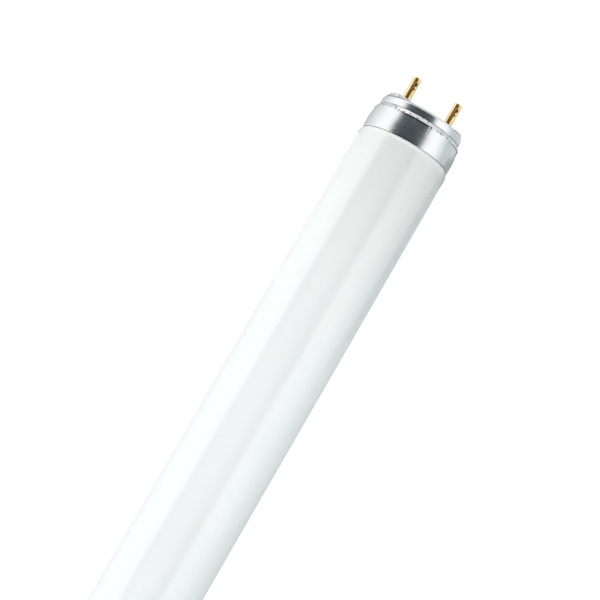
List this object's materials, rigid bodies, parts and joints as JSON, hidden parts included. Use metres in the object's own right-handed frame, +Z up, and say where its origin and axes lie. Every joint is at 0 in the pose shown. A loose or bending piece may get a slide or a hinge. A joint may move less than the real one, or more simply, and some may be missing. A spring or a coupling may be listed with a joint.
{
  "type": "fluorescent tube",
  "caption": "Straight fluorescent tube: white coated glass barrel, stepped aluminium cap at each end, and brass contact pins that plug into two-pin lamp holders.",
  "frame": {"origin": "middle of the tube, on its axis", "axes": "+X along the tube to the end that the picture shows, +Y along the row of pins, +Z up as the tube lies"},
  "size_m": [0.6034, 0.0254, 0.0254],
  "materials": {
    "coated_glass": "clear gloss glass over an even white coat, so it can't be seen into",
    "cap_aluminium": "satin, drawn sheet",
    "pin_brass": "polished",
    "insulator": "moulded, light grey",
    "cement": "cured basing cement, matt",
    "lead_wire": "drawn nickel iron wire"
  },
  "bodies": {
    "root": {"glass_tube": "coated_glass", "left_end_cap": "cap_aluminium", "left_pin_insulator": "insulator", "left_cement_ring": "cement", "left_front_contact_pin": "pin_brass", "left_front_lead_wire": "lead_wire", "left_rear_contact_pin": "pin_brass", "left_rear_lead_wire": "lead_wire", "right_end_cap": "cap_aluminium", "right_pin_insulator": "insulator", "right_cement_ring": "cement", "right_front_contact_pin": "pin_brass", "right_front_lead_wire": "lead_wire", "right_rear_contact_pin": "pin_brass", "right_rear_lead_wire": "lead_wire"}
  },
  "joints": []
}
